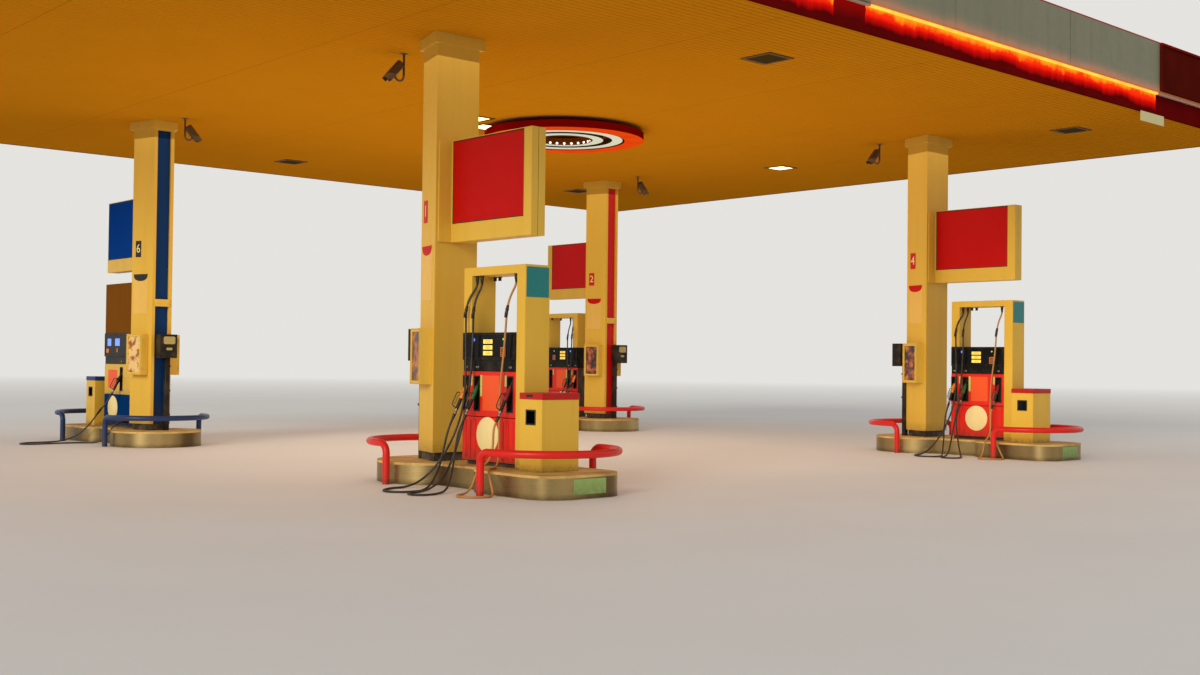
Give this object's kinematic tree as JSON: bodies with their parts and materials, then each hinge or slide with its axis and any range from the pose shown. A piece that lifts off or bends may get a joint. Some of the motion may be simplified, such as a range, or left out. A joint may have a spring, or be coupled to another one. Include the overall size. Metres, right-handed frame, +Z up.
{
  "type": "filling station canopy",
  "caption": "Flat filling station canopy on clad columns over islands with fuel dispensers, hoses, bins, guard hoops and column signs.",
  "frame": {"origin": "on the ground, under the middle of the roof", "axes": "+Z up; +X along the longer fascia, the one with the name panel being on the -Y side"},
  "size_m": [18.95, 16.445, 6.46],
  "materials": {
    "roof_sheet": "weathered coated steel sheet",
    "galvanised": "galvanised",
    "structural_steel": "primed steel, matt",
    "soffit_metal": "satin coated metal strip",
    "fascia_panel": "satin aluminium composite panel",
    "band_red": "satin",
    "strip_light": "lit diffuser",
    "name_panel": "satin",
    "height_plate": "satin",
    "lamp_body": "satin",
    "lamp_glass": "frosted",
    "ring_red": "gloss",
    "ring_glass": "lit opal diffuser",
    "camera_grey": "satin",
    "cladding": "satin coated sheet",
    "plinth_dark": "matt",
    "strip_red": "gloss",
    "strip_blue": "gloss",
    "sign_frame": "satin",
    "sign_red": "gloss",
    "sign_blue": "gloss",
    "case_frame": "satin",
    "poster": "printed board behind gloss film",
    "service_dark": "matt",
    "island_concrete": "painted concrete, worn",
    "skirt_steel": "scuffed stainless sheet",
    "hoop_red": "gloss, scuffed",
    "hoop_blue": "gloss, scuffed",
    "dispenser_frame": "satin",
    "dispenser_core": "matt",
    "display_black": "gloss",
    "front_red": "gloss",
    "front_blue": "gloss",
    "front_cream": "gloss",
    "housing_brown": "satin",
    "boot_black": "moulded",
    "outlet_black": "moulded",
    "nozzle_metal": "cast",
    "bin_cream": "satin",
    "lid_red": "gloss",
    "lid_blue": "gloss",
    "hose_black": "smooth rubber"
  },
  "bodies": {
    "root": {"roof_deck": "roof_sheet", "roof_purlins": "galvanised", "roof_beams": "structural_steel", "soffit": "soffit_metal", "fascia_near": "fascia_panel", "fascia_far": "fascia_panel", "fascia_left": "fascia_panel", "fascia_right": "fascia_panel", "band_near": "band_red", "band_far": "band_red", "band_left": "band_red", "band_right": "band_red", "light_strips": "strip_light", "name_panel": "name_panel", "height_plate": "height_plate", "soffit_lamps": "lamp_body", "lamp_glasses": "lamp_glass", "ring_light": "ring_red", "ring_light_glasses": "ring_glass", "ceiling_cameras": "camera_grey", "column_posts": "structural_steel", "column_cladding": "cladding", "column_capitals": "cladding", "column_plinths": "plinth_dark", "red_strips": "strip_red", "blue_strip": "strip_blue", "sign_boxes": "sign_frame", "red_sign_faces": "sign_red", "blue_sign_faces": "sign_blue", "poster_cases": "case_frame", "poster_boards": "poster", "service_boxes": "service_dark", "islands": "island_concrete", "island_skirts": "skirt_steel", "red_hoops": "hoop_red", "blue_hoops": "hoop_blue", "dispenser_frames": "dispenser_frame", "dispenser_cores": "dispenser_core", "display_heads": "display_black", "red_front_panels": "front_red", "blue_front_panels": "front_blue", "gas_upper_panels": "front_cream", "gas_housing": "housing_brown", "nozzle_boots": "boot_black", "hose_outlets": "outlet_black", "nozzles": "nozzle_metal", "bins": "bin_cream", "red_bin_lids": "lid_red", "blue_bin_lid": "lid_blue", "hose_near_left_1": "hose_black", "hose_near_left_2": "hose_black", "hose_near_left_3": "hose_black", "hose_near_right_1": "hose_black", "hose_near_right_2": "hose_black", "hose_near_right_3": "hose_black", "hose_far_right_1": "hose_black", "hose_far_right_2": "hose_black", "hose_far_left_1": "hose_black"}
  },
  "joints": []
}
